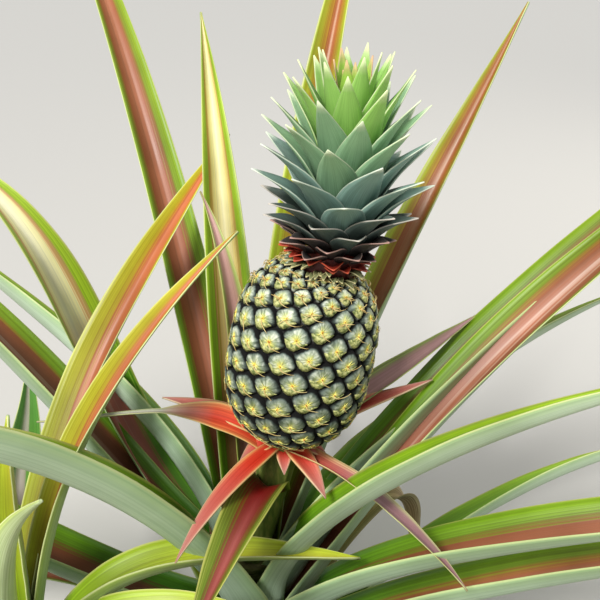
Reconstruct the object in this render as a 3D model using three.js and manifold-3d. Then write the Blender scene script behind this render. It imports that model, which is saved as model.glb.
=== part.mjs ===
import * as THREE from "three";
import Module from "manifold-3d";

const wasm = await Module();
wasm.setup();

// Driving sizes in millimetres, angles in degrees. The origin is the middle of the cut at ground level.
const fruitDiameter = 122;
const fruitHeight = 166;
const fruitCentre = new THREE.Vector3(46, 13, 426);
const fruitAxis = new THREE.Vector3(0.168, -0.007, 0.986).normalize();
const goldenAngle = 137.508;
const eyeStep = 1.14;
const eyeBulge = 3;
const stemTop = 214;
const stemRadius = 30;
const stemFlare = 10;
const shootCentre = [-190, -112];
const shootTop = 206;
const shootRadius = 19;
const stalkRadius = 15;
const stalkTop = 326;
const crownLeaves = 52;
const crownShift = 13;
const scaleThick = 3.2;
const leafChannel = 0.36;
const leafMiddleDrop = 0.38;
const leafThickShare = 0.0108;
const tipThickShare = 0.75;
const airGap = 0.3;

const rad = THREE.MathUtils.degToRad;
const lerp = THREE.MathUtils.lerp;
const smooth = THREE.MathUtils.smoothstep;

// A direction from a compass angle (0 along +X, 90 along +Y) and a slope above level.
function heading(azimuth, slope) {
  const a = rad(azimuth);
  const s = rad(slope);
  return new THREE.Vector3(Math.cos(s) * Math.cos(a), Math.cos(s) * Math.sin(a), Math.sin(s));
}

function cubicPoint(p0, p1, p2, p3, t) {
  return new THREE.CubicBezierCurve3(p0, p1, p2, p3).getPoint(t);
}

// Joins rings of points, each with the same count, into one closed body with flat end caps.
// A ring of one point ends the body in a tip.
function loft(rings) {
  const verts = [];
  const starts = [];
  const tris = [];
  for (const ring of rings) {
    starts.push(verts.length / 3);
    for (const p of ring) {
      verts.push(p.x, p.y, p.z);
    }
  }
  for (let k = 0; k + 1 < rings.length; k++) {
    const n = rings[k].length;
    const a = starts[k];
    const b = starts[k + 1];
    for (let i = 0; i < n; i++) {
      const j = (i + 1) % n;
      if (rings[k + 1].length === 1) {
        tris.push(a + i, a + j, b);
      } else {
        tris.push(a + i, a + j, b + j, a + i, b + j, b + i);
      }
    }
  }
  const cap = (start, count, flip) => {
    for (let i = 1; i + 1 < count; i++) {
      const [p, q] = flip ? [i + 1, i] : [i, i + 1];
      tris.push(start, start + p, start + q);
    }
  };
  cap(starts[0], rings[0].length, true);
  const last = rings.length - 1;
  if (rings[last].length > 1) {
    cap(starts[last], rings[last].length, false);
  }
  return solid(verts, tris);
}

function solid(verts, tris) {
  const mesh = new wasm.Mesh({
    numProp: 3,
    vertProperties: Float32Array.from(verts),
    triVerts: Uint32Array.from(tris),
  });
  return new wasm.Manifold(mesh);
}

// A round limb: a path of points with a radius at each, cut square to the path at both ends.
function limb(points, radii, sides) {
  const rings = points.map((p, k) => {
    const before = points[Math.max(k - 1, 0)];
    const after = points[Math.min(k + 1, points.length - 1)];
    const along = after.clone().sub(before).normalize();
    const first = new THREE.Vector3(1, 0, 0).projectOnPlane(along).normalize();
    const second = along.clone().cross(first);
    return Array.from({ length: sides }, (_, i) => {
      const a = (2 * Math.PI * i) / sides;
      return p.clone()
        .addScaledVector(first, radii[k] * Math.cos(a))
        .addScaledVector(second, radii[k] * Math.sin(a));
    });
  });
  return loft(rings);
}

// The middle line of a leaf. It leaves its stem at a foot height with a rise, keeps that way for
// the length of its shoulder, and swings and bends to a tip at a reach, a height and a slope.
function leafLine(leaf, t) {
  const [cx, cy] = leaf.centre;
  const out = heading(leaf.azimuth, leaf.rise);
  const tipAzimuth = leaf.azimuth + leaf.swing;
  const foot = heading(leaf.azimuth, 0).multiplyScalar(leaf.footRadius);
  const p0 = new THREE.Vector3(cx + foot.x, cy + foot.y, leaf.foot);
  const p1 = p0.clone().addScaledVector(out, leaf.shoulder);
  const tip = heading(tipAzimuth, 0).multiplyScalar(leaf.reach);
  const p3 = new THREE.Vector3(cx + tip.x, cy + tip.y, leaf.tip);
  const back = 0.4 * p3.distanceTo(p0);
  const p2 = p3.clone().addScaledVector(heading(tipAzimuth, leaf.slope), -back);
  return cubicPoint(p0, p1, p2, p3, t);
}

// A leaf narrows a little towards its foot, and from its widest part on to a long point.
function leafSpread(leaf, t) {
  const foot = lerp(leaf.footShare, 1, smooth(t, 0, 0.25));
  const point = t < leaf.widest ? 1 : 1 - Math.pow((t - leaf.widest) / (1 - leaf.widest), leaf.taper);
  return foot * point;
}

function leafLength(leaf) {
  const points = Array.from({ length: 21 }, (_, k) => leafLine(leaf, k / 20));
  return points.slice(1).reduce((sum, p, k) => sum + p.distanceTo(points[k]), 0);
}

// A leaf blade: a channel with a thick middle, six points to a ring, and a pointed tip. It rolls about
// its middle line from foot to tip. The same leaf, grown by a gap on every side, cuts its place out of
// its neighbours.
function leafBlade(leaf, grow = 0) {
  const rings = [];
  const line = (t) => leafLine(leaf, t);
  const first = line(0);
  const second = line(0.02);
  const start = first.clone().addScaledVector(second.clone().sub(first).normalize(), -leaf.sink);
  const fullThick = Math.max(leaf.thick, leafThickShare * leafLength(leaf));
  for (let k = 0; k < leaf.stations; k++) {
    const t = k / leaf.stations;
    const p = k === 0 ? start : line(t);
    const along = line(Math.min(t + 0.01, 1)).sub(line(Math.max(t - 0.01, 0))).normalize();
    const turn = leaf.azimuth + leaf.swing * smooth(t, 0, 0.6) + 90;
    const roll = rad(lerp(leaf.rollFoot, leaf.rollTip, smooth(t, 0.1, 0.9)));
    const side = heading(turn, 0).projectOnPlane(along).normalize().applyAxisAngle(along, roll);
    const top = along.clone().cross(side);
    const half = (leaf.width / 2) * leafSpread(leaf, t) + grow;
    const depth = half * 2 * leaf.channel;
    const low = grow - leafMiddleDrop * depth;
    const thick = fullThick * lerp(1, tipThickShare, t) + 2 * grow;
    const at = (u, v) => p.clone().addScaledVector(side, u).addScaledVector(top, v + low);
    rings.push([
      at(0, -thick),
      at(half * 0.96, depth - thick * 0.5),
      at(half, depth),
      at(0, 0),
      at(-half, depth),
      at(-half * 0.96, depth - thick * 0.5),
    ]);
  }
  rings.push([line(1).addScaledVector(line(1).sub(line(0.98)).normalize(), grow)]);
  return loft(rings);
}

// Main rosette, foot heights from the inner leaves down to the outer ones. The first rows are the
// leaves that show; the later ones stand at the front, the back and low down, where they are hidden.
// Every row ends with the width and the roll at the foot and at the tip.
const rowNames = [
  "azimuth", "rise", "foot", "shoulder", "reach", "swing", "tip", "slope", "width", "rollFoot", "rollTip",
];
const rosetteRows = {
  front_right: [-36, 88, 175, 86, 339, 5, 529, 31, 45, 13, -16],
  back_inner: [104, 75, 196, 183, 265, -3, 658, 39, 42, 0, 0],
  back_tall: [71, 71, 192, 200, 330, -2, 802, 44, 42, 0, 0],
  front_left: [239, 83, 169, 92, 410, -19, 481, -29, 58, -16, 35],
  left_silver: [139, 71, 186, 186, 551, 2, 440, 20, 42, 50, 44],
  back_right: [41, 64, 185, 292, 354, 2, 670, 52, 42, -22, 0],
  left_upper: [144, 30, 173, 267, 332, 9, 560, 11, 53, 42, -17],
  right_upper: [13, 59, 172, 271, 623, 10, 660, 37, 57, -20, -9],
  back_left: [106, 74, 169, 91, 584, 10, 781, 11, 42, 0, 0],
  left_middle: [157, 41, 164, 241, 529, 4, 558, 14, 60, 24, 17],
  right_middle: [11, 70, 182, 133, 469, 18, 380, 3, 58, -27, -27],
  right_inner: [3, 63, 138, 285, 566, 13, 635, 29, 47, -3, 18],
  right_long: [-15, 63, 129, 163, 667, 0, 462, 23, 55, -21, 4],
  left_low: [186, 29, 124, 224, 601, -1, 393, -4, 65, 17, 6],
  right_low: [-16, 48, 96, 150, 609, 8, 330, 14, 56, -23, -16],
  right_short: [26, 29, 62, 185, 595, -2, 149, -26, 34, -20, -47],
  left_under: [165, 30, 92, 180, 520, 4, 90, -14, 42, 0, 0],
  withered: [38, 45, 92, 275, 251, 5, 30, -80, 30, 0, 0],
  front_01: [262, 42, 140, 200, 560, 6, 420, 8, 42, 0, 0],
  front_02: [300, 40, 132, 200, 560, -6, 400, 6, 42, 0, 0],
  front_03: [215, 40, 112, 200, 590, 4, 270, 0, 42, 0, 0],
  front_04: [281, 38, 108, 200, 600, 2, 330, 0, 42, 0, 0],
  front_05: [322, 38, 104, 200, 600, -4, 250, 0, 42, 0, 0],
  front_06: [240, 34, 84, 190, 590, 4, 190, -8, 42, 0, 0],
  front_07: [266, 32, 72, 190, 570, -3, 170, -10, 42, 0, 0],
  front_08: [310, 30, 66, 190, 560, 2, 120, -12, 42, 0, 0],
  front_09: [198, 30, 68, 180, 560, 0, 120, -12, 42, 0, 0],
  front_10: [338, 30, 56, 180, 540, 0, 90, -12, 42, 0, 0],
  back_low_1: [86, 34, 88, 180, 520, 0, 130, -10, 42, 0, 0],
  back_low_2: [122, 34, 70, 180, 500, 0, 100, -12, 42, 0, 0],
  back_low_3: [58, 30, 54, 170, 430, 4, 70, -10, 42, 0, 0],
  right_under: [2, 28, 48, 170, 500, 2, 70, -10, 42, 0, 0],
};
// The side shoot on the left, a younger rosette on the same root.
const shootRows = {
  shoot_tall: [79, 64, 198, 197, 365, -16, 552, 27, 41, -33, 11],
  shoot_front: [-68, 71, 186, 185, 118, 22, 451, 43, 27, 7, -13],
  shoot_inner: [59, 78, 184, 153, 219, -28, 539, 35, 30, -18, 19],
  shoot_right: [18, 73, 171, 170, 302, -1, 232, -19, 40, -24, -1],
  shoot_back: [105, 37, 146, 233, 344, -3, 299, 35, 38, 8, 25],
  shoot_01: [-4, 74, 176, 120, 250, 2, 236, -32, 32, 0, 0],
  shoot_02: [60, 85, 196, 110, 40, 0, 425, 78, 32, 0, 0],
  shoot_03: [182, 62, 176, 150, 260, 4, 420, 20, 32, 0, 0],
  shoot_04: [232, 56, 166, 150, 300, -4, 380, 12, 32, 0, 0],
  shoot_05: [138, 54, 148, 140, 300, 4, 330, 8, 32, 0, 0],
  shoot_06: [282, 50, 146, 140, 320, 0, 300, 2, 32, 0, 0],
  shoot_07: [205, 42, 128, 130, 330, 0, 220, -6, 32, 0, 0],
  shoot_08: [258, 40, 118, 130, 320, 0, 190, -10, 32, 0, 0],
  shoot_09: [318, 38, 100, 130, 320, 0, 170, -12, 32, 0, 0],
};
// Narrow leaves on the fruit stalk below the fruit.
const stalkRows = {
  stalk_leaf_1: [178, 43, 333, 75, 217, 0, 349, -5, 24, 0, 0],
  stalk_leaf_2: [-41, 16, 329, 56, 180, 11, 247, -46, 19, -15, 8],
  stalk_leaf_3: [24, 26, 331, 80, 208, 4, 408, 24, 30, 0, 0],
  stalk_leaf_4: [262, 70, 296, 46, 200, -8, 305, -8, 38, -12, 14],
  stalk_leaf_5: [107, 61, 240, 102, 100, 10, 537, 31, 25, 17, -3],
};
// Leaves that narrow in their own way: where the point begins, and how full it is.
const leafPoints = {
  leaf_right_middle: { taper: 0.9 },
  stalk_leaf_1: { widest: 0.06, taper: 0.5 },
  stalk_leaf_2: { taper: 1.5 },
};
// Red bracts close under the fruit: azimuth, length, slope at the foot, slope at the tip, width.
const bractRows = [
  [163, 118, 20, -2, 26],
  [235, 150, 4, -38, 18],
  [272, 52, -4, -30, 20],
  [302, 74, -2, -38, 22],
  [15, 144, 20, 12, 22],
  [56, 70, 12, -6, 24],
  [98, 66, 10, -10, 24],
  [130, 70, 12, -8, 24],
  [204, 60, 2, -22, 22],
  [340, 62, 4, -14, 22],
];

function stalkCentre(height) {
  const under = fruitCentre.clone().addScaledVector(fruitAxis, -fruitHeight / 2);
  const foot = new THREE.Vector3(0, 0, stemTop + airGap);
  const lean = foot.clone().add(new THREE.Vector3(8, 4, 45));
  const meet = under.clone().addScaledVector(fruitAxis, -45);
  const t = (height - stemTop) / (under.z - stemTop);
  return cubicPoint(foot, lean, meet, under, THREE.MathUtils.clamp(t, 0, 1));
}

function stemSize(height) {
  const flare = stemFlare * Math.exp(-height / 16);
  return lerp(stemRadius, stemRadius - 9, smooth(height, 120, stemTop)) + flare;
}

function stemBody(grow = 0) {
  const heights = [0, 8, 20, 45, 90, 140, 180, stemTop];
  const points = heights.map((h) => new THREE.Vector3(0, 0, h));
  points[0].z -= grow;
  points[7].z += grow;
  return limb(points, heights.map((h) => stemSize(h) + grow), 20);
}

// The side shoot leaves the stem low down and level, then turns up: two limbs meet at the bend.
const shootPath = [
  [-18, -11, 44], [-60, -35, 46], [-105, -62, 50], [-145, -86, 60],
  [-172, -101, 84], [-186, -110, 125], [-190, -112, 165], [-190, -112, shootTop],
].map(([x, y, z]) => new THREE.Vector3(x, y, z));
const shootRadii = [15, 15, 16, 17, shootRadius, shootRadius, shootRadius - 2, shootRadius - 5];

function shootLimb(first, last, grow = 0) {
  const points = shootPath.slice(first, last + 1);
  return limb(points, shootRadii.slice(first, last + 1).map((r) => r + grow), 14);
}

function stalkBody(grow = 0) {
  const steps = 7;
  const points = [];
  const radii = [];
  for (let k = 0; k <= steps; k++) {
    const h = lerp(stemTop + airGap, stalkTop, k / steps);
    points.push(stalkCentre(h));
    radii.push(lerp(stalkRadius + 1, stalkRadius - 1, k / steps) + grow);
  }
  return limb(points, radii, 14);
}

// Short pointed blade for a bract or a crown leaf, from a foot point along a line that bends more
// and more towards its tip.
function scale(foot, azimuth, length, slopes, width, channel) {
  const steps = 3;
  const rings = [];
  const p = foot.clone();
  const side = heading(azimuth + 90, 0);
  for (let k = 0; k < steps; k++) {
    const t = k / steps;
    const bend = Math.pow((k + 0.5) / steps, 1.5);
    const along = heading(azimuth, lerp(slopes[0], slopes[1], bend));
    const top = along.clone().cross(side);
    const half = (width / 2) * (1 - t * t) * lerp(0.85, 1, smooth(t, 0, 0.25));
    const at = (u, v) => p.clone().addScaledVector(side, u).addScaledVector(top, v);
    rings.push([
      at(0, -scaleThick),
      at(half, 2 * half * channel),
      at(0, 0),
      at(-half, 2 * half * channel),
    ]);
    p.addScaledVector(along, length / steps);
  }
  rings.push([p]);
  return loft(rings);
}

function fuse(bodies) {
  return wasm.Manifold.union(bodies);
}

// The fruit is a barrel of plump eyes on a spiral that turns by the golden angle at each step.
function fruitSize(share) {
  const belly = Math.pow(1 - Math.pow(Math.abs(share), 2.9), 0.44);
  return (fruitDiameter / 2) * belly * (1 - 0.02 * share);
}

function fruitFrame() {
  const toward = new THREE.Vector3(0, -1, 0).projectOnPlane(fruitAxis).normalize();
  const right = toward.clone().cross(fruitAxis).negate().normalize();
  return { toward, right };
}

function eyeCentres() {
  const eyes = [];
  const half = fruitHeight / 2;
  let h = -half * 0.965;
  while (h < half * 0.955) {
    const size = fruitSize(h / half);
    const ahead = fruitSize((h + 0.5) / half);
    const steep = Math.hypot(1, (ahead - size) / 0.5);
    eyes.push({ h, size });
    h += (eyeStep * Math.pow((2 * size) / fruitDiameter, 0.9)) / steep;
  }
  const { toward, right } = fruitFrame();
  const anchor = eyes.findIndex((e) => e.h > 28.5);
  return eyes.map((e, i) => {
    const a = rad(1 + goldenAngle * (i - anchor));
    const out = toward.clone().multiplyScalar(Math.cos(a)).addScaledVector(right, Math.sin(a));
    return { ...e, out, at: fruitCentre.clone().addScaledVector(fruitAxis, e.h).addScaledVector(out, e.size) };
  });
}

function fruitBody(grow = 0) {
  const eyes = eyeCentres();
  const verts = [];
  const tris = [];
  const add = (p) => verts.push(p.x, p.y, p.z) / 3 - 1;
  eyes.forEach((e) => add(e.at.clone().addScaledVector(e.out, grow)));
  const centroids = new Map();
  const face = (a, b, c) => {
    const mid = eyes[a].at.clone().add(eyes[b].at).add(eyes[c].at).divideScalar(3);
    const out = eyes[a].out.clone().add(eyes[b].out).add(eyes[c].out).normalize();
    const m = add(mid.addScaledVector(out, grow - eyeBulge));
    [[a, b], [b, c], [c, a]].forEach(([p, q]) => centroids.set(`${p},${q}`, [p, q, m]));
  };
  for (let i = 0; i + 21 < eyes.length; i++) {
    face(i, i + 8, i + 21);
    face(i, i + 21, i + 13);
  }
  const next = new Map();
  for (const [p, q, m] of centroids.values()) {
    const other = centroids.get(`${q},${p}`);
    if (!other) {
      tris.push(p, q, m);
      next.set(q, p);
    } else if (p < q) {
      tris.push(p, other[2], m, other[2], q, m);
    }
  }
  const poles = [-1, 1].map((end) => {
    const centre = fruitCentre.clone();
    return add(centre.addScaledVector(fruitAxis, end * (fruitHeight / 2 + grow)));
  });
  for (const [q, p] of next) {
    const pole = q < eyes.length / 2 ? poles[0] : poles[1];
    tris.push(q, p, pole);
  }
  return solid(verts, tris);
}

// Crown: leaves on the same spiral. All leave the core steeply and curl outward. The low ones are
// short, the middle ones are the longest and spread, and the top ones stand up. Each value is given
// at the steps of the spiral from the bottom to the top.
const crownSteps = [0, 0.1, 0.25, 0.4, 0.55, 0.7, 0.85, 1];
const crownFoot = [-4, 2, 14, 28, 42, 56, 70, 88];
const crownRadius = [24, 24, 21, 18, 14, 11, 7, 3];
const crownLength = [14, 24, 45, 65, 82, 87, 94, 76];
const crownRise = [50, 53, 55, 52, 58, 66, 76, 88];
const crownBend = [30, 30, 30, 30, 30, 28, 20, 10];
const crownWidth = [16, 20, 26, 30, 32, 31, 28, 20];
const crownCore = [[-2, 24], [12, 24], [44, 17], [76, 9], [92, 5]];
const crownFirstAzimuth = 83;
const crownChannel = 0.24;

function atStep(values, s) {
  let k = 0;
  while (k < crownSteps.length - 2 && s > crownSteps[k + 1]) {
    k++;
  }
  return lerp(values[k], values[k + 1], (s - crownSteps[k]) / (crownSteps[k + 1] - crownSteps[k]));
}

function crownBody(base, axis) {
  const bodies = [];
  const core = crownCore.map(([height]) => base.clone().addScaledVector(axis, height));
  bodies.push(limb(core, crownCore.map(([, radius]) => radius), 12));
  for (let i = 0; i < crownLeaves; i++) {
    const s = i / (crownLeaves - 1);
    const azimuth = crownFirstAzimuth + goldenAngle * i;
    const foot = base.clone()
      .addScaledVector(axis, atStep(crownFoot, s))
      .addScaledVector(heading(azimuth, 0), atStep(crownRadius, s) - 3);
    const rise = atStep(crownRise, s);
    const slopes = [rise, rise - atStep(crownBend, s)];
    bodies.push(scale(foot, azimuth, atStep(crownLength, s) + 2, slopes, atStep(crownWidth, s), crownChannel));
  }
  return fuse(bodies);
}

// Keeps only the largest body of a cut shape and drops the loose chips.
function mainBody(shape) {
  const pieces = shape.decompose();
  pieces.sort((a, b) => b.volume() - a.volume());
  return pieces[0];
}

function toMesh(shape, name, material) {
  const mesh = shape.getMesh();
  const geometry = new THREE.BufferGeometry();
  const points = new Float32Array(mesh.numVert * 3);
  for (let i = 0; i < mesh.numVert; i++) {
    points.set(mesh.vertProperties.subarray(i * mesh.numProp, i * mesh.numProp + 3), i * 3);
  }
  geometry.setAttribute("position", new THREE.BufferAttribute(points, 3));
  geometry.setIndex(new THREE.BufferAttribute(Uint32Array.from(mesh.triVerts), 1));
  geometry.computeVertexNormals();
  const node = new THREE.Mesh(geometry, material);
  node.name = name;
  return node;
}

function finish(color, roughness) {
  return new THREE.MeshStandardMaterial({ color, roughness, metalness: 0 });
}

const group = new THREE.Group();
group.name = "pineapple_plant";
const taken = [];

// Adds one node. Its own shape, cut clear of what stands already, is kept; its grown shape will
// cut the nodes that come after it.
function place(name, shape, grown, color, roughness) {
  const clear = taken.length ? mainBody(shape.subtract(fuse(taken))) : shape;
  taken.push(grown);
  group.add(toMesh(clear, name, finish(color, roughness)));
}

place("stem", stemBody(), stemBody(airGap), 0x6f7a45, 0.7);
place("shoot_runner", shootLimb(0, 3), shootLimb(0, 3, airGap), 0x6f7a45, 0.7);
place("shoot_stem", shootLimb(3, 7), shootLimb(3, 7, airGap), 0x75804a, 0.7);
place("fruit_stalk", stalkBody(), stalkBody(airGap), 0x6a6f3a, 0.6);

const fruitGrown = fruitBody(airGap);
place("fruit", fruitBody(), fruitGrown, 0x6c7758, 0.5);

const crownBase = fruitCentre.clone()
  .addScaledVector(fruitAxis, fruitHeight / 2 - 4)
  .add(new THREE.Vector3(crownShift, 0, 0));
const crownAxis = new THREE.Vector3(0.045, 0, 0.999).normalize();
const crown = crownBody(crownBase, crownAxis);
place("crown", crown, crown, 0x7c9a7a, 0.5);

// The collar is the swollen end of the stalk with the bracts fused to it.
const collarRings = [[stalkTop + airGap, 14], [334, 18], [342, 21], [352, 22]];
const collarParts = [limb(collarRings.map(([h]) => stalkCentre(h)), collarRings.map(([, r]) => r), 14)];
const bractFoot = { height: 336, radius: 10, channel: 0.18 };
for (const [azimuth, length, low, high, width] of bractRows) {
  const foot = stalkCentre(bractFoot.height).addScaledVector(heading(azimuth, 0), bractFoot.radius);
  collarParts.push(scale(foot, azimuth, length - bractFoot.radius, [low, high], width, bractFoot.channel));
}
const collar = fuse(collarParts);
place("bract_collar", collar, collar, 0xd0402f, 0.45);

const plainLeaf = { sink: 6, channel: leafChannel, footShare: 0.62, widest: 0.35, taper: 1.9 };
const rosetteLeaf = { ...plainLeaf, thick: 7, stations: 10 };
const shootLeaf = { ...plainLeaf, thick: 4.4, stations: 8 };
const stalkLeaf = { ...plainLeaf, thick: 3.4, stations: 7, footShare: 0.8, sink: 5, channel: 0.28 };

function placeLeaf(name, row, centre, footRadius, kind, color) {
  const values = Object.fromEntries(rowNames.map((key, i) => [key, row[i]]));
  const leaf = { ...kind, ...values, centre, footRadius, ...leafPoints[name] };
  place(name, leafBlade(leaf), leafBlade(leaf, airGap), color, 0.5);
}

for (const [name, row] of Object.entries(stalkRows)) {
  const centre = stalkCentre(row[2]);
  placeLeaf(name, row, [centre.x, centre.y], stalkRadius - 1, stalkLeaf, 0xb8604f);
}
for (const [name, row] of Object.entries(rosetteRows)) {
  placeLeaf(`leaf_${name}`, row, [0, 0], stemSize(row[2]), rosetteLeaf, 0x7b9a4c);
}
for (const [name, row] of Object.entries(shootRows)) {
  placeLeaf(`leaf_${name}`, row, shootCentre, shootRadius - 3, shootLeaf, 0xa3b04a);
}

export default group;
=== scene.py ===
import math
import random

import bmesh
import bpy
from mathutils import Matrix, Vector, noise


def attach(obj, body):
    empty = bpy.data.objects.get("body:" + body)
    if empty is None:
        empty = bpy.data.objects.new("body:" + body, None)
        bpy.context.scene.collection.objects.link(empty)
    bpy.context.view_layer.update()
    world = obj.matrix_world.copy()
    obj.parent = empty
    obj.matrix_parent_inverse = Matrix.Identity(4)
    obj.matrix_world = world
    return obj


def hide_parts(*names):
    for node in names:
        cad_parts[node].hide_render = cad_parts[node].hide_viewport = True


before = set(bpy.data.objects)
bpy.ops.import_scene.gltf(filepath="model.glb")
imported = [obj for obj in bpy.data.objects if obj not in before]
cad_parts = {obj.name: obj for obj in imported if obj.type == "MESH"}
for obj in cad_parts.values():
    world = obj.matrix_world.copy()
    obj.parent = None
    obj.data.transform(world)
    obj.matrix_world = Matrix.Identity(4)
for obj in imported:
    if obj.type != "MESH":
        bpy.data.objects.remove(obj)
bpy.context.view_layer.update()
print("frame loaded:", len(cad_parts), "solids")

mm = 0.001
goldenAngle = 137.508
random.seed(41)


# Small helpers: colours, nodes, numbers.
def linearColour(code):
    parts = [int(code[i:i + 2], 16) / 255 for i in (1, 3, 5)]
    return [c / 12.92 if c <= 0.04045 else ((c + 0.055) / 1.055) ** 2.4 for c in parts] + [1.0]


def newMaterial(name):
    material = bpy.data.materials.new(name)
    material.use_nodes = True
    return material, material.node_tree, material.node_tree.nodes["Principled BSDF"]


def fillSockets(tree, node, sockets):  # each with a value, a colour, or a link from a node
    for key, value in sockets.items():
        if isinstance(value, bpy.types.Node):
            value = value.outputs[0]
        if isinstance(value, bpy.types.NodeSocket):
            tree.links.new(value, node.inputs[key])
        else:
            node.inputs[key].default_value = linearColour(value) if isinstance(value, str) else value


def addNode(tree, kind, sockets=None, stops=(), **settings):
    node = tree.nodes.new("ShaderNode" + kind)
    for key, value in settings.items():
        setattr(node, key, value)
    fillSockets(tree, node, sockets or {})
    for k, (place, colour) in enumerate(stops):
        marks = node.color_ramp.elements
        mark = marks[k] if k < 2 else marks.new(place)
        mark.position = place
        mark.color = linearColour(colour)
    return node


def addObject(name, data):
    made = bpy.data.objects.new(name, data)
    bpy.context.scene.collection.objects.link(made)
    return made


def lerp(a, b, t):
    return a + (b - a) * t


def smoothStep(x, low, high):
    t = min(max((x - low) / (high - low), 0), 1)
    return t * t * (3 - 2 * t)


def heading(azimuth, slope):
    a, s = math.radians(azimuth), math.radians(slope)
    return Vector((math.cos(s) * math.cos(a), math.cos(s) * math.sin(a), math.sin(s)))


def cubicPoint(p0, p1, p2, p3, t):
    s = 1 - t
    return p0 * s ** 3 + p1 * (3 * s * s * t) + p2 * (3 * s * t * t) + p3 * t ** 3


def alongSteps(steps, values, s):
    k = 0
    while k < len(steps) - 2 and s > steps[k + 1]:
        k += 1
    return lerp(values[k], values[k + 1], (s - steps[k]) / (steps[k + 1] - steps[k]))


# A grid whose points are moved to place(u, v); its UV map keeps u across and v along, or what
# pattern(u, v) gives.
def addSheet(bm, across, along, place, pattern=None):
    made = bmesh.ops.create_grid(bm, x_segments=across, y_segments=along, size=0.5)
    uvLayer = bm.loops.layers.uv.verify()
    cells = {cell for vert in made["verts"] for cell in vert.link_faces}
    for cell in cells:
        cell.smooth = True
        for loop in cell.loops:
            spot = (loop.vert.co.x + 0.5, loop.vert.co.y + 0.5)
            loop[uvLayer].uv = pattern(*spot) if pattern else spot
    for vert in made["verts"]:
        vert.co = place(vert.co.x + 0.5, vert.co.y + 0.5) * mm
    return made["verts"]


# A closed tube is a sheet rolled round a path, with its seam merged; its ends are filled apart, by closeEnds.
def addTube(bm, path, around, along, relief=None):
    def place(u, v):
        centre, radius, first, second = path(v)
        a = 2 * math.pi * u
        swell = relief(a, v) if relief else 0
        return centre + (first * math.cos(a) + second * math.sin(a)) * (radius + swell)

    verts = addSheet(bm, around, along, place)
    bmesh.ops.remove_doubles(bm, verts=verts, dist=0.00001)


# What a tube needs at v along its middle line: centre, radius and two directions across it.
def pathFrame(line, v, radius):
    ahead = (line(min(v + 0.01, 1)) - line(max(v - 0.01, 0))).normalized()
    first = (Vector((1, 0, 0)) - ahead * ahead.x).normalized()
    return line(v), radius, first, ahead.cross(first)


def closeEnds(bm):
    rims = [edge for edge in bm.edges if edge.is_boundary]
    bmesh.ops.holes_fill(bm, edges=rims, sides=0)


def finishPiece(name, bm, materials, nodes):
    mesh = bpy.data.meshes.new(name)
    bm.to_mesh(mesh)
    bm.free()
    piece = addObject(name, mesh)
    for material in materials:
        mesh.materials.append(material)
    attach(piece, "root")
    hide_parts(*nodes)
    return piece


def thicken(piece, thickness):
    shell = piece.modifiers.new("thickness", "SOLIDIFY")
    shell.thickness = thickness * mm
    shell.offset = -1
    return shell


# Camera at the photograph's angle, floor and lights.
view = {"place": (0.045, -0.573, 0.780), "pitch": 27.6, "fieldOfView": 40}
cameraData = bpy.data.cameras.new("camera")
cameraData.sensor_fit = "HORIZONTAL"
cameraData.angle = math.radians(view["fieldOfView"])
cameraData.clip_start = 0.01
camera = addObject("camera", cameraData)
camera.location = view["place"]
camera.rotation_euler = (math.radians(90 - view["pitch"]), 0, 0)
bpy.context.scene.camera = camera

studio = {
    "floorSize": 60,
    "floorColour": "#bdbab4",
    "skyColour": "#eef2f6",
    "skyStrength": 0.62,
    "sunTurn": (34, -26, 0),  # degrees off straight down
    "sunStrength": 3.3,
    "sunSoftness": 14,
    "lightsLookAt": Vector((0, 0, 0.4)),
    "lights": [  # place, size, power, colour
        ((-0.9, -1.5, 1.6), 1.2, 14, "#fff6e8"),
        ((1.6, 1.2, 1.6), 1.6, 14, "#fffaf0"),
    ],
}


def makeStudio():
    bm = bmesh.new()
    bmesh.ops.create_grid(bm, x_segments=1, y_segments=1, size=studio["floorSize"] / 2)
    mesh = bpy.data.meshes.new("floor")
    bm.to_mesh(mesh)
    bm.free()
    floor = addObject("floor", mesh)
    paper, tree, shader = newMaterial("mattePaper")  # even pale backdrop paper
    fillSockets(tree, shader, {"Base Color": studio["floorColour"], "Roughness": 0.9})
    mesh.materials.append(paper)
    world = bpy.data.worlds.new("softSky")
    world.use_nodes = True
    sky = world.node_tree.nodes["Background"]
    fillSockets(world.node_tree, sky, {"Color": studio["skyColour"], "Strength": studio["skyStrength"]})
    bpy.context.scene.world = world
    key = bpy.data.lights.new("softSun", "SUN")
    key.energy = studio["sunStrength"]
    key.angle = math.radians(studio["sunSoftness"])
    addObject("softSun", key).rotation_euler = [math.radians(angle) for angle in studio["sunTurn"]]
    for k, (place, size, power, colour) in enumerate(studio["lights"]):
        lamp = bpy.data.lights.new("softbox" + str(k + 1), "AREA")
        lamp.size = size
        lamp.energy = power
        lamp.color = linearColour(colour)[:3]
        box = addObject(lamp.name, lamp)
        box.location = place
        toward = studio["lightsLookAt"] - Vector(place)
        box.rotation_euler = toward.to_track_quat("-Z", "Y").to_euler()
    bpy.context.scene.view_settings.view_transform = "Standard"


makeStudio()
print("studio ready")


# Living leaf skin: waxy, a little glossy, with fine lengthwise veins. The colours are given across
# the blade, from its middle (0) to its edge (1), once near the foot and once near the tip.
leafSkin = {
    "veinsAcross": 40,  # one every millimetre on a broad blade
    "veinStretch": 1.4, "veinDepth": 0.25, "veinStrength": 0.8,
    "blotchScale": 9,  # patches about 110 mm across
    "sharpFrom": 0.84, "sharpTo": 0.94, "glossSpread": 0.16, "refraction": 1.42}
leafUsual = {"wander": 0.14, "turn": (0.1, 0.75), "shade": "#c9c9c0", "veinShade": "#e2e2da",
             "gloss": 0.34, "seed": 0}


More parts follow.
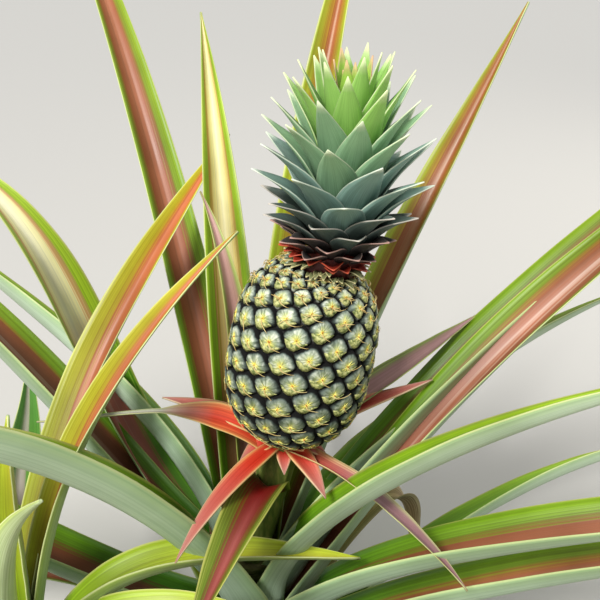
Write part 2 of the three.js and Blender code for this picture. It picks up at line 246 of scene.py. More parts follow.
def leafMaterial(name, ownLook):
    look = {**leafUsual, **ownLook}
    material, tree, shader = newMaterial(name)
    split = addNode(tree, "SeparateXYZ", {0: addNode(tree, "UVMap")})
    across, along = split.outputs[0], split.outputs[1]
    mirrored = addNode(tree, "Math", {0: across, 1: 0.5}, operation="SUBTRACT")
    aside = addNode(tree, "Math", {0: mirrored}, operation="ABSOLUTE")
    fromMiddle = addNode(tree, "Math", {0: aside, 1: 2.0}, operation="MULTIPLY")
    veinPlace = addNode(tree, "CombineXYZ", {
        0: addNode(tree, "Math", {0: across, 1: leafSkin["veinsAcross"]}, operation="MULTIPLY"),
        1: addNode(tree, "Math", {0: along, 1: leafSkin["veinStretch"]}, operation="MULTIPLY"),
        2: look["seed"]})
    veins = addNode(tree, "TexNoise", {"Vector": veinPlace, "Scale": 1.0, "Detail": 3.0})
    solid = addNode(tree, "TexCoord").outputs["Object"]
    blotches = addNode(tree, "TexNoise", {"Vector": solid, "Scale": leafSkin["blotchScale"], "Detail": 4.0})
    wander = addNode(tree, "MapRange", {0: veins, 1: 0.3, 2: 0.7, 3: -look["wander"], 4: look["wander"]})
    stray = addNode(tree, "Math", {0: fromMiddle, 1: wander}, operation="ADD")
    # the thin pale edge stays sharp, the inner bands wander
    edge = addNode(tree, "MapRange", {0: fromMiddle, 1: leafSkin["sharpFrom"], 2: leafSkin["sharpTo"]})
    band = addNode(tree, "Mix", {0: edge, 2: stray, 3: fromMiddle}, data_type="FLOAT")
    foot = addNode(tree, "ValToRGB", {0: band}, stops=look["foot"])
    tip = addNode(tree, "ValToRGB", {0: band}, stops=look["tip"])
    age = addNode(tree, "MapRange", {0: along, 1: look["turn"][0], 2: look["turn"][1]})
    colour = addNode(tree, "Mix", {0: age, 6: foot, 7: tip}, data_type="RGBA")
    tone = addNode(tree, "ValToRGB", {0: blotches}, stops=[(0.3, look["shade"]), (0.7, "#ffffff")])
    toned = addNode(tree, "Mix", {0: 1.0, 6: colour.outputs[2], 7: tone},
                    data_type="RGBA", blend_type="MULTIPLY")
    lines = addNode(tree, "ValToRGB", {0: veins}, stops=[(0.35, look["veinShade"]), (0.62, "#ffffff")])
    veined = addNode(tree, "Mix", {0: 1.0, 6: toned.outputs[2], 7: lines},
                     data_type="RGBA", blend_type="MULTIPLY")
    rough = look["gloss"] + leafSkin["glossSpread"]
    gloss = addNode(tree, "MapRange", {0: blotches, 1: 0.3, 2: 0.7, 3: look["gloss"], 4: rough})
    relief = addNode(tree, "Bump", {"Height": veins, "Distance": leafSkin["veinDepth"] * mm,
                                    "Strength": leafSkin["veinStrength"]})
    fillSockets(tree, shader, {"Base Color": veined.outputs[2], "Roughness": gloss, "Normal": relief,
                               "IOR": leafSkin["refraction"]})
    return material


leafLooks = {
    "striped": {  # brown-red middle between green edges, yellower outward
        "foot": [(0.0, "#8a4c3c"), (0.34, "#74422a"), (0.5, "#44780e"), (0.95, "#4f8a10"), (1.0, "#a9b84a")],
        "tip": [(0.0, "#c07c5c"), (0.32, "#b0643c"), (0.46, "#9a7a24"), (0.56, "#8a9a1e"), (0.95, "#9fc024"),
                (1.0, "#d6dc7a")]},
    "glossStripe": {  # the same with a painted highlight along its middle, the sky's reflection in its channel
        "foot": [(0.0, "#b87c6c"), (0.08, "#8a4c3c"), (0.38, "#7a442c"), (0.5, "#44780e"), (0.95, "#4f8a10"),
                 (1.0, "#a9b84a")],
        "tip": [(0.0, "#e4bca8"), (0.06, "#c07c5c"), (0.36, "#ac6438"), (0.48, "#b8862c"), (0.58, "#8a9a1e"),
                (0.95, "#9fc024"), (1.0, "#d6dc7a")],
        "wander": 0.1},
    "orange": {  # narrow warm middle, yellow-orange edges
        "foot": [(0.0, "#a86038"), (0.24, "#9a5a2e"), (0.44, "#8a8a24"), (0.93, "#7fa418"),
                 (0.99, "#c8cc62")],
        "tip": [(0.0, "#d09468"), (0.16, "#b9683f"), (0.38, "#c08a34"), (0.93, "#b4c832"),
                (0.99, "#e4e094")]},
    "yellowHeart": {  # pale yellow middle band
        "foot": [(0.0, "#9c6440"), (0.32, "#8a5434"), (0.5, "#4a7c12"), (0.93, "#5a9612"), (0.99, "#c0cc5c")],
        "tip": [(0.0, "#f4efb8"), (0.24, "#ece08c"), (0.42, "#b08038"), (0.54, "#8fae22"), (0.93, "#a4c42c"),
                (0.99, "#dfe08a")]},
    "paleHeart": {  # broad cream middle band, partly real and partly a painted highlight brightened to near white, with a pink-brown rim
        "foot": [(0.0, "#d8a098"), (0.16, "#bc7064"), (0.42, "#a05c48"), (0.54, "#4f8412"), (0.93, "#5a9612"),
                 (0.99, "#c0cc5c")],
        "tip": [(0.0, "#fffbdc"), (0.36, "#f8f0b4"), (0.5, "#c89468"), (0.6, "#8fae22"), (0.93, "#a4c42c"),
                (0.99, "#dfe08a")],
        "turn": (0.36, 0.52), "shade": "#e4e4dc"},
    "greenTop": {  # plain bright green upper side
        "foot": [(0.0, "#5a7a34"), (0.5, "#4a8412"), (0.93, "#3f8a08"), (0.99, "#b4c84c")],
        "tip": [(0.0, "#8aac38"), (0.5, "#8cb42a"), (0.93, "#a8cc28"), (0.99, "#dcdc84")]},
    "silver": {  # underside: silvery scales between green ribs
        "foot": [(0.0, "#c2d6c2"), (0.6, "#bcd2b8"), (0.93, "#a8c496"), (0.99, "#c8d69c")],
        "tip": [(0.0, "#cddcc4"), (0.6, "#c6d8ba"), (0.93, "#b0c894"), (0.99, "#d4da9a")],
        "veinShade": "#e4ebe2", "shade": "#dcdfd8", "gloss": 0.5, "wander": 0.08},
    "shootYellow": {  # young leaf: orange-brown middle, yellow-green edges
        "foot": [(0.0, "#a85c38"), (0.3, "#a8622c"), (0.46, "#8e821c"), (0.95, "#949c1c"), (1.0, "#dfe490")],
        "tip": [(0.0, "#d47c54"), (0.3, "#d07844"), (0.46, "#d0a830"), (0.6, "#ccc02c"), (0.95, "#dcd43c"),
                (1.0, "#eceba0")],
        "turn": (0.3, 0.9)},
    "shootGreen": {  # young leaf, yellow-green all over
        "foot": [(0.0, "#86a42a"), (0.6, "#7fa81a"), (0.93, "#8cb81c"), (0.99, "#d8e07c")],
        "tip": [(0.0, "#d2cc44"), (0.2, "#c8cc34"), (0.93, "#cadc38"), (0.99, "#ecec96")]},
    "shootSilver": {  # young leaf's underside, pale silvery green
        "foot": [(0.0, "#bccf9c"), (0.6, "#b4cc8c"), (0.93, "#b8d070"), (0.99, "#dce6a0")],
        "tip": [(0.0, "#cfdcb0"), (0.6, "#c8d8a0"), (0.93, "#cfe080"), (0.99, "#e8eeb0")],
        "veinShade": "#dce2d0", "gloss": 0.48, "wander": 0.08},
    "dry": {  # withered: olive above turning straw and grey-brown
        "foot": [(0.0, "#a09458"), (0.6, "#8f8a48"), (0.97, "#b8ae78")],
        "tip": [(0.0, "#c8ac80"), (0.6, "#b0946a"), (0.97, "#dccca4")],
        "turn": (0.35, 0.6), "gloss": 0.7, "veinShade": "#a89e88"},
    "redStalk": {  # stalk leaf: red foot, pink middle, grey-green point
        "foot": [(0.0, "#e04a34"), (0.6, "#e8603c"), (0.93, "#f0a060"), (0.99, "#ecd08a")],
        "tip": [(0.0, "#aca89c"), (0.6, "#a0a890"), (0.93, "#a8b080"), (0.99, "#c8cc94")],
        "turn": (0.26, 0.5), "shade": "#e8dcd8", "wander": 0.12},
    "crimsonStalk": {  # crimson middle line, olive and yellow-green edges
        "foot": [(0.0, "#8c1012"), (0.5, "#8a2018"), (0.66, "#6a5420"), (0.88, "#66781e"), (0.98, "#b0b450")],
        "tip": [(0.0, "#b8625e"), (0.24, "#a04844"), (0.46, "#84622c"), (0.58, "#6c8420"), (0.9, "#86982c"),
                (0.98, "#c8c870")],
        "turn": (0.26, 0.6), "wander": 0.2},
    "duskyStalk": {  # dusky pink-brown with pale edges
        "foot": [(0.0, "#d8503c"), (0.6, "#d86a50"), (0.93, "#e0a070"), (0.99, "#e8cf90")],
        "tip": [(0.0, "#9c7078"), (0.6, "#a47c80"), (0.93, "#c4bc90"), (0.99, "#e4e4a0")],
        "turn": (0.1, 0.5)},
    "purpleStalk": {  # dull purple-brown
        "foot": [(0.0, "#d09ca0"), (0.6, "#bc8c8e"), (0.86, "#9cac60"), (0.98, "#ccd080")],
        "tip": [(0.0, "#cca0a4"), (0.6, "#bc9090"), (0.86, "#98ac58"), (0.98, "#c4cc80")]},
    "greyHeart": {  # young green leaf with a grey-pink middle
        "foot": [(0.0, "#9c8484"), (0.26, "#8c7870"), (0.42, "#5f8a24"), (0.93, "#78a828"),
                 (0.99, "#c8d478")],
        "tip": [(0.0, "#c4c0b4"), (0.2, "#a8a890"), (0.34, "#4f8430"), (0.93, "#5a9638"),
                (0.99, "#c0d088")]},
    "pinkStalk": {  # pink with green edges
        "foot": [(0.0, "#b87c78"), (0.5, "#b88478"), (0.8, "#7ca038"), (0.97, "#b8c860")],
        "tip": [(0.0, "#d8a8a4"), (0.5, "#c89c90"), (0.8, "#a0b85c"), (0.97, "#dce08c")]},
}
leafSkins = {key: leafMaterial("leaf" + key[0].upper() + key[1:], {**look, "seed": 3.7 * k})
             for k, (key, look) in enumerate(leafLooks.items())}
print("leaf finishes ready")

# The sizes that the pieces share, in millimetres.
stem = {"top": 214, "radius": 30, "flare": 10, "flareHeight": 16, "thinner": 9, "thinFrom": 120}
fruit = {"diameter": 122, "height": 166, "centre": Vector((46, 13, 426)),
         "axis": Vector((0.168, -0.007, 0.986)).normalized(),
         "bulge": 2.9, "roundness": 0.44, "narrowing": 0.02}
shoot = {"centre": (-190, -112), "top": 206, "radius": 19}
stalk = {"radius": 15, "top": 326, "foot": 214.3, "lean": Vector((8, 4, 45)), "straight": 45}


def stemSize(height):
    flare = stem["flare"] * math.exp(-height / stem["flareHeight"])
    thin = smoothStep(height, stem["thinFrom"], stem["top"])
    return lerp(stem["radius"], stem["radius"] - stem["thinner"], thin) + flare


def stalkCentre(height):
    under = fruit["centre"] - fruit["axis"] * fruit["height"] / 2
    foot = Vector((0, 0, stalk["foot"]))
    meet = under - fruit["axis"] * stalk["straight"]
    t = min(max((height - stem["top"]) / (under.z - stem["top"]), 0), 1)
    return cubicPoint(foot, foot + stalk["lean"], meet, under, t)


# The middle line of a leaf leaves its stem with a rise, keeps it for the length of its shoulder,
# then swings and bends to its tip.
def leafLine(leaf, t):
    cx, cy = leaf["centre"]
    tipAzimuth = leaf["azimuth"] + leaf["swing"]
    p0 = Vector((cx, cy, leaf["foot"])) + heading(leaf["azimuth"], 0) * leaf["footRadius"]
    p1 = p0 + heading(leaf["azimuth"], leaf["rise"]) * leaf["shoulder"]
    p3 = Vector((cx, cy, leaf["tip"])) + heading(tipAzimuth, 0) * leaf["reach"]
    p2 = p3 - heading(tipAzimuth, leaf["slope"]) * (0.4 * (p3 - p0).length)
    return cubicPoint(p0, p1, p2, p3, t)


blade = {"across": 12, "along": 44, "channel": 0.42, "middleDrop": 0.38, "claspChannel": 0.55,
         "claspEnd": 0.16, "widest": 0.35, "taper": 1.9, "ripple": 0.8, "thickness": 2.4,
         "edgeShare": 0.35, "sink": 5, "footShare": 0.95}


def leafSpread(leaf, t):
    foot = lerp(leaf["footShare"], 1, smoothStep(t, 0, 0.25))
    widest = leaf.get("widest", blade["widest"])
    past = max(t - widest, 0)
    if "narrowed" in leaf:  # a broad foot that narrows soon to a strap
        return foot * max(1 - (past / leaf["narrowed"]) ** 1.3, leaf["strapShare"] * (1 - t ** 4), 0)
    return foot * (1 - (past / (1 - widest)) ** leaf.get("taper", blade["taper"]))


def bladeRing(leaf, v):
    middle = leafLine(leaf, v)
    along = (leafLine(leaf, min(v + 0.01, 1)) - leafLine(leaf, max(v - 0.01, 0))).normalized()
    if v == 0:
        middle = middle - along * blade["sink"]
    side = heading(leaf["azimuth"] + leaf["swing"] * smoothStep(v, 0, 0.6) + 90, 0)
    side = (side - along * side.dot(along)).normalized()
    top = along.cross(side)
    roll = math.radians(lerp(leaf["rollFoot"], leaf["rollTip"], smoothStep(v, 0.1, 0.9)))
    side, top = side * math.cos(roll) + top * math.sin(roll), top * math.cos(roll) - side * math.sin(roll)
    half = max(leaf["width"] / 2 * leafSpread(leaf, v), 0.3)
    return middle, side, top, half


def makeLeaf(name, leaf, node, under):
    bm = bmesh.new()
    rings = {}
    seed = sum(ord(letter) for letter in name)

    def place(u, v):
        key = round(v, 4)
        if key not in rings:
            rings[key] = bladeRing(leaf, key)
        middle, side, top, half = rings[key]
        x = 2 * u - 1
        channel = lerp(leaf.get("clasp", blade["claspChannel"]), leaf.get("channel", blade["channel"]),
                       smoothStep(v, 0, blade["claspEnd"]))
        wave = noise.noise(Vector((seed, v * 9, x))) * blade["ripple"] * abs(x) * min(1, half / 8)
        rise = 2 * half * channel * (abs(x) ** 1.4 - blade["middleDrop"]) + wave
        return middle - side * (half * x) + top * rise

    def pattern(u, v):  # the middle band may run nearer to one edge, and broader or narrower
        x = 2 * (u - leaf.get("drift", 0) * 4 * u * (1 - u)) - 1
        return 0.5 + math.copysign(abs(x) ** leaf.get("bandPower", 1), x) / 2, v

    addSheet(bm, blade["across"], blade["along"], place, pattern)
    piece = finishPiece(name, bm, [leafSkins[leaf["look"]], leafSkins[under], leafSkins[under]], [node])
    # a blade is thick along its middle and thin at its edges
    thick = piece.vertex_groups.new(name="thick")
    count = blade["across"] + 1
    for k in range(len(piece.data.vertices)):
        x = abs(2 * (k % count) / blade["across"] - 1)
        thick.add([k], lerp(1, blade["edgeShare"], x ** 1.5), "REPLACE")
    shell = thicken(piece, leaf.get("thickness", blade["thickness"]))
    shell.vertex_group = "thick"
    shell.material_offset = 1
    shell.material_offset_rim = 2


# Every row's values are the ones of rowNames: angles in degrees, the rest in millimetres.
rowNames = ("azimuth", "rise", "foot", "shoulder", "reach", "swing", "tip", "slope", "width", "rollFoot",
            "rollTip", "look")
rosetteRows = {
    "front_right": (-36, 88, 175, 86, 339, 5, 529, 31, 45, 13, -16, "greenTop"),
    "back_inner": (104, 75, 196, 183, 265, -3, 658, 39, 42, 0, 0, "yellowHeart"),
    "back_tall": (71, 71, 192, 200, 330, -2, 802, 44, 42, 0, 0, "orange"),
    "front_left": (239, 83, 169, 92, 410, -19, 481, -29, 58, -16, 35, "greenTop"),
    "left_silver": (139, 71, 186, 186, 551, 2, 440, 20, 42, 50, 44, "greenTop"),
    "back_right": (41, 64, 185, 292, 354, 2, 670, 52, 42, -22, 0, "orange"),
    "left_upper": (144, 30, 173, 267, 332, 9, 560, 11, 53, 42, -17, "paleHeart"),
    "right_upper": (13, 59, 172, 271, 623, 10, 660, 37, 57, -20, -9, "striped"),
    "back_left": (106, 74, 169, 91, 584, 10, 781, 11, 42, 0, 0, "striped"),
    "left_middle": (157, 41, 164, 241, 529, 4, 558, 14, 60, 24, 17, "glossStripe"),
    "right_middle": (11, 70, 182, 133, 469, 18, 380, 3, 58, -27, -27, "striped"),
    "right_inner": (3, 63, 138, 285, 566, 13, 635, 29, 47, -3, 18, "glossStripe"),
    "right_long": (-15, 63, 129, 163, 667, 0, 462, 23, 55, -21, 4, "striped"),
    "left_low": (186, 29, 124, 224, 601, -1, 393, -4, 65, 17, 6, "striped"),
    "right_low": (-16, 48, 96, 150, 609, 8, 330, 14, 56, -23, -16, "glossStripe"),
    "right_short": (26, 29, 62, 185, 595, -2, 149, -26, 34, -20, -47, "greenTop"),
    "left_under": (165, 30, 92, 180, 520, 4, 90, -14, 42, 0, 0, "striped"),
    "withered": (38, 45, 92, 275, 251, 5, 30, -80, 30, 0, 0, "dry"),
    "front_01": (262, 42, 140, 200, 560, 6, 420, 8, 42, 0, 0, "striped"),
    "front_02": (300, 40, 132, 200, 560, -6, 400, 6, 42, 0, 0, "orange"),
    "front_03": (215, 40, 112, 200, 590, 4, 270, 0, 42, 0, 0, "striped"),
    "front_04": (281, 38, 108, 200, 600, 2, 330, 0, 42, 0, 0, "striped"),
    "front_05": (322, 38, 104, 200, 600, -4, 250, 0, 42, 0, 0, "orange"),
    "front_06": (240, 34, 84, 190, 590, 4, 190, -8, 42, 0, 0, "striped"),
    "front_07": (266, 32, 72, 190, 570, -3, 170, -10, 42, 0, 0, "yellowHeart"),
    "front_08": (310, 30, 66, 190, 560, 2, 120, -12, 42, 0, 0, "striped"),
    "front_09": (198, 30, 68, 180, 560, 0, 120, -12, 42, 0, 0, "striped"),
    "front_10": (338, 30, 56, 180, 540, 0, 90, -12, 42, 0, 0, "orange"),
    "back_low_1": (86, 34, 88, 180, 520, 0, 130, -10, 42, 0, 0, "striped"),
    "back_low_2": (122, 34, 70, 180, 500, 0, 100, -12, 42, 0, 0, "orange"),
    "back_low_3": (58, 30, 54, 170, 430, 4, 70, -10, 42, 0, 0, "striped"),
    "right_under": (2, 28, 48, 170, 500, 2, 70, -10, 42, 0, 0, "striped"),
}
shootRows = {
    "shoot_tall": (79, 64, 198, 197, 365, -16, 552, 27, 41, -33, 11, "shootYellow"),
    "shoot_front": (-68, 71, 186, 185, 118, 22, 451, 43, 27, 7, -13, "greenTop"),
    "shoot_inner": (59, 78, 184, 153, 219, -28, 539, 35, 30, -18, 19, "shootYellow"),
    "shoot_right": (18, 73, 171, 170, 302, -1, 232, -19, 40, -24, -1, "shootGreen"),
    "shoot_back": (105, 37, 146, 233, 344, -3, 299, 35, 38, 8, 25, "greyHeart"),
    "shoot_01": (-4, 74, 176, 120, 250, 2, 236, -32, 32, 0, 0, "shootGreen"),
    "shoot_02": (60, 85, 196, 110, 40, 0, 425, 78, 32, 0, 0, "shootGreen"),
    "shoot_03": (182, 62, 176, 150, 260, 4, 420, 20, 32, 0, 0, "shootYellow"),
    "shoot_04": (232, 56, 166, 150, 300, -4, 380, 12, 32, 0, 0, "shootYellow"),
    "shoot_05": (138, 54, 148, 140, 300, 4, 330, 8, 32, 0, 0, "shootGreen"),
    "shoot_06": (282, 50, 146, 140, 320, 0, 300, 2, 32, 0, 0, "shootYellow"),
    "shoot_07": (205, 42, 128, 130, 330, 0, 220, -6, 32, 0, 0, "striped"),
    "shoot_08": (258, 40, 118, 130, 320, 0, 190, -10, 32, 0, 0, "shootYellow"),
    "shoot_09": (318, 38, 100, 130, 320, 0, 170, -12, 32, 0, 0, "shootGreen"),
}
stalkRows = {
    "stalk_leaf_1": (178, 43, 333, 75, 217, 0, 349, -5, 24, 0, 0, "redStalk"),
    "stalk_leaf_2": (-41, 16, 329, 56, 180, 11, 247, -46, 19, -15, 8, "duskyStalk"),
    "stalk_leaf_3": (24, 26, 331, 80, 208, 4, 408, 24, 30, 0, 0, "purpleStalk"),
    "stalk_leaf_4": (262, 70, 296, 46, 200, -8, 305, -8, 38, -12, 14, "crimsonStalk"),
    "stalk_leaf_5": (107, 61, 240, 102, 100, 10, 537, 31, 25, 17, -3, "pinkStalk"),
}
# drift moves the middle band to the right of someone who looks outward along the leaf, bandPower
# above 1 makes it broader; widest is where the point begins, taper how it narrows
leafTweaks = {
    "left_low": {"drift": 0.12, "bandPower": 1.2},
    "left_middle": {"drift": 0.14, "bandPower": 1.5},
    "left_upper": {"bandPower": 1.25, "rollFoot": 12},
    "back_left": {"drift": -0.05, "bandPower": 1.5},
    "back_inner": {"drift": 0.02, "bandPower": 1.7},
    "back_right": {"drift": -0.1, "bandPower": 1.2},
    "right_long": {"drift": -0.07, "bandPower": 1.1},
    "right_low": {"drift": -0.07, "bandPower": 1.1},
    "right_middle": {"drift": 0.1, "taper": 0.9},
    "right_upper": {"drift": -0.12, "bandPower": 1.2},
    "right_inner": {"drift": -0.04, "bandPower": 1.5},
    "shoot_tall": {"drift": 0.1, "bandPower": 1.5},
    "shoot_inner": {"drift": 0.03},
    "stalk_leaf_1": {"widest": 0.24, "narrowed": 0.3, "strapShare": 0.2, "footShare": 1.0, "rollFoot": -40},
    "stalk_leaf_2": {"taper": 1.5, "footShare": 1.35},
    "stalk_leaf_4": {"drift": -0.05},
}
stalkLeaf = {"footShare": 0.85, "clasp": 0.28, "channel": 0.28, "thickness": 1.6}


def makeLeaves():
    def leafOf(name, row, centre, footRadius, usual):
        leaf = dict(zip(rowNames, row), centre=centre, footRadius=footRadius, **usual)
        leaf.update(leafTweaks.get(name, {}))
        return leaf

    usual = {"footShare": blade["footShare"]}
    for name, row in rosetteRows.items():
        dry = name == "withered"
        leaf = leafOf(name, row, (0, 0), stemSize(row[2]), usual)
        makeLeaf("blade_" + name, leaf, "leaf_" + name,
                 "dry" if dry else "silver")
    for name, row in shootRows.items():
        leaf = leafOf(name, row, shoot["centre"], shoot["radius"] - 3, usual)
        makeLeaf("blade_" + name, leaf, "leaf_" + name, "shootSilver")
    for name, row in stalkRows.items():
        leaf = leafOf(name, row, stalkCentre(row[2]).xy, stalk["radius"] - 1, stalkLeaf)
        makeLeaf("blade_" + name, leaf, name, leaf["look"])


makeLeaves()
print("leaves made")


# Stem skin: olive, ringed by the scars of old leaves, with dry brown scale ends. Stalk skin: smooth
# green with long fibres.
def barkMaterial(name, look):
    material, tree, shader = newMaterial(name)
    solid = addNode(tree, "TexCoord").outputs["Object"]
    stretch = addNode(tree, "Mapping", {"Vector": solid, "Scale": look["stretch"]})
    grain = addNode(tree, "TexNoise", {"Vector": stretch, "Scale": look["scale"], "Detail": 6.0})
    colour = addNode(tree, "ValToRGB", {0: grain}, stops=look["colours"])
    relief = addNode(tree, "Bump", {"Height": grain, "Distance": look["depth"] * mm, "Strength": 1.0})
    fillSockets(tree, shader, {"Base Color": colour, "Roughness": look["roughness"], "Normal": relief})
    return material


stemSkin = barkMaterial("stemSkin", {
    "stretch": (1, 1, 3), "scale": 90,  # scales about 11 mm wide and 4 mm high
    "roughness": 0.75, "depth": 0.8,
    "colours": [(0.3, "#4a3a24"), (0.5, "#6f6a3c"), (0.7, "#93905c")]})
stalkSkin = barkMaterial("stalkSkin", {
    "stretch": (1, 1, 0.2), "scale": 260,  # fibres about 4 mm wide and 20 mm long
    "roughness": 0.5, "depth": 0.8,
    "colours": [(0.3, "#4c5a24"), (0.55, "#6a7a34"), (0.75, "#94904e")]})
stemRelief = {"scarStep": 11, "scarHeight": 1.6, "around": 48, "along": 90}


# Each scar is a low step that circles the stem and dips a little, with a thin dry lip.
def scarRelief(length):
    def relief(a, v):
        h = v * length + 2.5 * math.sin(a * 2 + v * 7) + 1.5 * math.sin(a * 3 - v * 11)
        share = (h / stemRelief["scarStep"]) % 1
        return stemRelief["scarHeight"] * (share ** 2 - 0.6)
    return relief


def makeStems():
    bm = bmesh.new()

    def mainPath(v):
        h = v * stem["top"]
        return Vector((0, 0, h)), stemSize(h) - 1.2, Vector((1, 0, 0)), Vector((0, 1, 0))

    scars = scarRelief(stem["top"])
    addTube(bm, mainPath, stemRelief["around"], stemRelief["along"],
            lambda a, v: scars(a, v) * min(1, v * 20))
    closeEnds(bm)
    finishPiece("stemBark", bm, [stemSkin], ["stem"])

    path = [Vector(p) for p in (
        (-18, -11, 44), (-60, -35, 46), (-105, -62, 50), (-145, -86, 60), (-172, -101, 84),
        (-186, -110, 125), (-190, -112, 165), (-190, -112, shoot["top"]))]
    full = shoot["radius"]
    radii = [15, 15, 16, 17, full, full, full - 2, full - 5]

    def bendPoint(s):  # smooth line through the path's points
        k = min(int(s), len(path) - 2)
        t = s - k
        a, b, c, d = (path[min(max(k + n, 0), len(path) - 1)] for n in (-1, 0, 1, 2))
        bow = (a * 2 - b * 5 + c * 4 - d) * (t * t / 2)
        return b + (c - a) * (t / 2) + bow + (b * 3 - a - c * 3 + d) * (t ** 3 / 2)

    def limbPath(first, last):
        def place(v):
            s = lerp(first, last, v)
            ahead = (bendPoint(min(s + 0.02, last)) - bendPoint(max(s - 0.02, first))).normalized()
            side = (Vector((0, 1, 0)) - ahead * ahead.y).normalized()
            k = min(int(s), len(radii) - 2)
            return bendPoint(s), lerp(radii[k], radii[k + 1], s - k) - 1, ahead.cross(side) * -1, side
        return place

    for name, node, first, last in (("runnerBark", "shoot_runner", 0, 3), ("shootBark", "shoot_stem", 3, 7)):
        bm = bmesh.new()
        addTube(bm, limbPath(first, last), 36, 60, scarRelief(150))
        closeEnds(bm)
        bmesh.ops.recalc_face_normals(bm, faces=bm.faces)
        finishPiece(name, bm, [stemSkin], [node])

    bm = bmesh.new()

    def stalkLine(s):
        return stalkCentre(lerp(stalk["foot"], stalk["top"] + 22, s))

    def stalkPath(v):
        radius = lerp(stalk["radius"] + 0.5, stalk["radius"] + 3, smoothStep(v, 0.8, 1))
        return pathFrame(stalkLine, v, radius)

    addTube(bm, stalkPath, 32, 50, lambda a, v: 0.5 * math.sin(a * 9 + v * 5))
    closeEnds(bm)
    finishPiece("stalkSkin", bm, [stalkSkin], ["fruit_stalk"])


makeStems()
print("stems made")


# Fruit: a dark core under plump eyes that stand on a golden-angle spiral. Each eye is a low dome with
# a dip in its middle, its bract, a star of ridges, the remains of its flower and a dry point.
eyes = {"step": 1.14, "lowest": 0.965, "highest": 0.955, "crowding": 0.9, "anchor": 28.5,
        "gap": 0.45, "corners": 9, "sunk": 3.0, "shift": 0.5, "fullSize": 50, "across": 8,
        "lift": 2.6, "flatness": 5.5, "plump": 0.22, "rimDrop": 2.2, "rimSharpness": 20,
        "dipDepth": 0.9, "dipSize": 0.25, "coreDepth": 2.2}
eyeBract = {"halfAngle": 74, "outer": 0.93, "inner": 0.36, "sideRise": 0.4, "ragged": 0.06,
            "lift": (0.5, 0.7)}
eyeStar = {"points": 10, "reach": (0.26, 0.64), "notch": 0.1, "height": 0.9, "lift": 0.3}
eyeFlower = {"sides": 7, "foot": (0.6, 1.9), "top": (0.2, 0.8), "height": 1.4, "lift": 0.3}
eyeStraw = {"length": (11, 15), "bend": (0.1, 1.1), "sideBend": (-2.4, 2.4), "sideLength": 0.6,
            "width": 0.6, "many": 4, "manyFrom": 0.66}


def fruitSize(share):
    belly = (1 - abs(share) ** fruit["bulge"]) ** fruit["roundness"]
    return fruit["diameter"] / 2 * belly * (1 - fruit["narrowing"] * share)


def eyeSpots():
    half = fruit["height"] / 2
    axis = fruit["axis"]
    toward = (Vector((0, -1, 0)) - axis * -axis.y).normalized()
    right = axis.cross(toward).normalized()
    spots = []
    h = -half * eyes["lowest"]
    while h < half * eyes["highest"]:
        size = fruitSize(h / half)
        lean = (fruitSize((h + 0.5) / half) - size) / 0.5
        spots.append({"h": h, "size": size, "lean": lean})
        h += eyes["step"] * (2 * size / fruit["diameter"]) ** eyes["crowding"] / math.hypot(1, lean)
    anchor = next(i for i, spot in enumerate(spots) if spot["h"] > eyes["anchor"])
    for i, spot in enumerate(spots):
        a = math.radians(1 + goldenAngle * (i - anchor))
        out = toward * math.cos(a) + right * math.sin(a)
        spot["out"] = (out - axis * spot["lean"]).normalized()
        spot["up"] = (axis + out * spot["lean"]).normalized()
        spot["right"] = spot["up"].cross(spot["out"])
        spot["at"] = fruit["centre"] + axis * spot["h"] + out * (spot["size"] - eyes["sunk"])
    return spots


# The outline of an eye is half way to each of the six eyes round it, with its corners rounded.
def eyeReach(spots, i):
    spot = spots[i]
    ways = []
    for step in (8, 13, 21, -8, -13, -21):
        j = i + step if 0 <= i + step < len(spots) else i - step
        away = spots[j]["at"] - spot["at"]
        flat = Vector((away.dot(spot["right"]), away.dot(spot["up"])))
        flat = flat * (away.length / max(flat.length, 1))
        ways.append(flat if j == i + step else -flat)
    power = eyes["corners"]

    def reach(angle):
        toward = Vector((math.cos(angle), math.sin(angle)))
        total = sum(max(way.normalized().dot(toward) / (way.length / 2), 0.001) ** power for way in ways)
        return total ** (-1 / power) - eyes["gap"] / 2
    return reach


